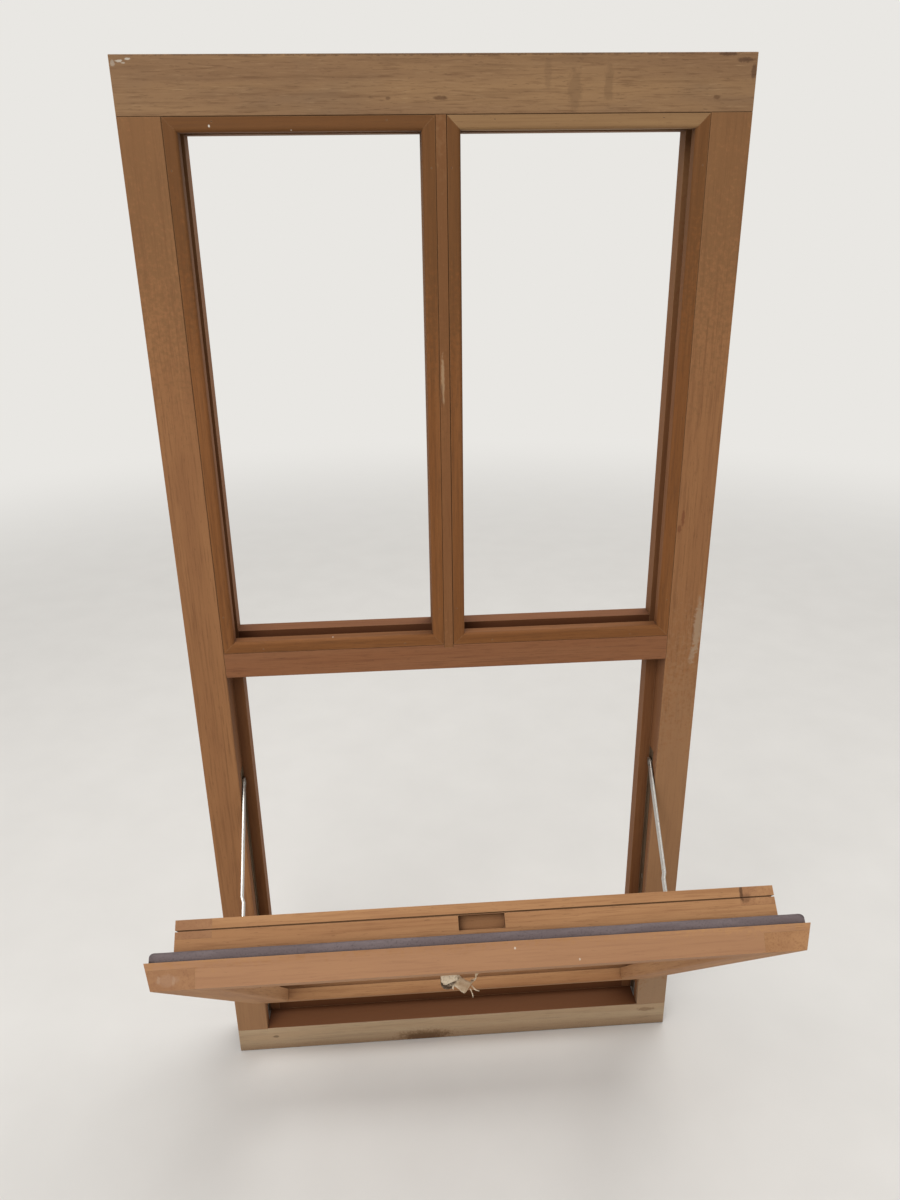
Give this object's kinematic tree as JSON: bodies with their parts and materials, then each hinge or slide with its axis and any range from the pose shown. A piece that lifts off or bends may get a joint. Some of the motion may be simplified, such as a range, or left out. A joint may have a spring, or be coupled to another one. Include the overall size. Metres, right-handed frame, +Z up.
{
  "type": "casement window",
  "caption": "Unglazed timber window frame with divided fixed lights above and an outward-opening sash below, held open on friction stays.",
  "frame": {"origin": "middle of the sill's underside, halfway through the frame's depth", "axes": "+Z up the jambs to the head, -Y out of the outside face towards which the sash opens, +X to the right as seen from outside"},
  "size_m": [0.63, 0.4832, 1.277],
  "materials": {
    "head_timber": "weathered bare hardwood, rough",
    "frame_timber": "old matt wood stain on hardwood",
    "transom_timber": "old matt wood stain on hardwood, redder",
    "bead_timber": "old matt wood stain on hardwood",
    "sash_timber": "old matt wood stain on hardwood, paler",
    "weather_seal": "grey foam weather seal, matt",
    "stay_steel": "dull rolled stainless steel",
    "fixing_steel": "dull turned steel",
    "pin_steel": "dark tarnished steel",
    "stay_plastic": "grey moulded plastic",
    "glazing_tape": "pale torn foam tape"
  },
  "bodies": {
    "frame": {"head": "head_timber", "sill": "frame_timber", "left_jamb": "frame_timber", "right_jamb": "frame_timber", "transom": "transom_timber", "mullion": "frame_timber", "left_light_foot_bead": "bead_timber", "left_light_inner_bead": "bead_timber", "left_light_head_bead": "bead_timber", "left_light_outer_bead": "bead_timber", "left_light_bead_pins": "pin_steel", "left_stay_track": "stay_steel", "left_track_end_cap": "stay_plastic", "left_track_rivet": "fixing_steel", "left_track_screws": "fixing_steel", "right_light_foot_bead": "bead_timber", "right_light_inner_bead": "bead_timber", "right_light_head_bead": "bead_timber", "right_light_outer_bead": "bead_timber", "right_light_bead_pins": "pin_steel", "right_stay_track": "stay_steel", "right_track_end_cap": "stay_plastic", "right_track_rivet": "fixing_steel", "right_track_screws": "fixing_steel"},
    "sash": {"sash_left_stile": "sash_timber", "sash_right_stile": "sash_timber", "sash_free_rail": "sash_timber", "sash_hinge_rail": "sash_timber", "sash_hinge_bead": "bead_timber", "sash_right_bead": "bead_timber", "sash_free_bead": "bead_timber", "sash_left_bead": "bead_timber", "sash_hinge_weather_seal": "weather_seal", "sash_right_weather_seal": "weather_seal", "sash_free_weather_seal": "weather_seal", "sash_left_weather_seal": "weather_seal", "sash_bead_pins": "pin_steel", "torn_glazing_tape": "glazing_tape", "left_sash_arm": "stay_steel", "left_arm_rivets": "fixing_steel", "left_arm_screws": "fixing_steel", "right_sash_arm": "stay_steel", "right_arm_rivets": "fixing_steel", "right_arm_screws": "fixing_steel"},
    "left_link": {"left_long_link": "stay_steel"},
    "left_foot_link": {"left_short_link": "stay_steel"},
    "left_shoe": {"left_stay_shoe": "stay_plastic", "left_shoe_rivet": "fixing_steel"},
    "right_link": {"right_long_link": "stay_steel"},
    "right_foot_link": {"right_short_link": "stay_steel"},
    "right_shoe": {"right_stay_shoe": "stay_plastic", "right_shoe_rivet": "fixing_steel"}
  },
  "joints": [
    {"name": "left_stay_pivot", "type": "hinge", "parent": "frame", "child": "left_link", "pos_m": [-0.2694, -0.003, 0.446], "axis": [-1, 0, 0], "range_deg": [-43.25, 6.75], "deforming": ["sash_hinge_weather_seal", "sash_right_weather_seal", "sash_free_weather_seal", "sash_left_weather_seal"]},
    {"name": "sash_pivot", "type": "hinge", "parent": "left_link", "child": "sash", "pos_m": [-0.2694, -0.15134, 0.28831], "axis": [1, 0, 0], "range_deg": [-86.5, 13.5]},
    {"name": "left_foot_pivot", "type": "hinge", "parent": "sash", "child": "left_foot_link", "pos_m": [-0.2694, -0.03109, 0.16048], "axis": [-1, 0, 0], "range_deg": [-86.5, 13.5]},
    {"name": "left_shoe_pivot", "type": "hinge", "parent": "left_foot_link", "child": "left_shoe", "pos_m": [-0.2694, -0.003, 0.19034], "axis": [1, 0, 0], "range_deg": [-43.25, 6.75]},
    {"name": "right_stay_pivot", "type": "hinge", "parent": "frame", "child": "right_link", "pos_m": [0.2694, -0.003, 0.446], "axis": [-1, 0, 0], "range_deg": [-43.25, 6.75]},
    {"name": "right_foot_pivot", "type": "hinge", "parent": "sash", "child": "right_foot_link", "pos_m": [0.2694, -0.03109, 0.16048], "axis": [-1, 0, 0], "range_deg": [-86.5, 13.5]},
    {"name": "right_shoe_pivot", "type": "hinge", "parent": "right_foot_link", "child": "right_shoe", "pos_m": [0.2694, -0.003, 0.19034], "axis": [1, 0, 0], "range_deg": [-43.25, 6.75]}
  ],
  "couplings": [
    {"joint": "sash_pivot", "follows": "left_stay_pivot", "ratio": 2},
    {"joint": "left_foot_pivot", "follows": "left_stay_pivot", "ratio": 2},
    {"joint": "left_shoe_pivot", "follows": "left_stay_pivot", "ratio": 1},
    {"joint": "right_stay_pivot", "follows": "left_stay_pivot", "ratio": 1},
    {"joint": "right_foot_pivot", "follows": "left_stay_pivot", "ratio": 2},
    {"joint": "right_shoe_pivot", "follows": "left_stay_pivot", "ratio": 1}
  ]
}
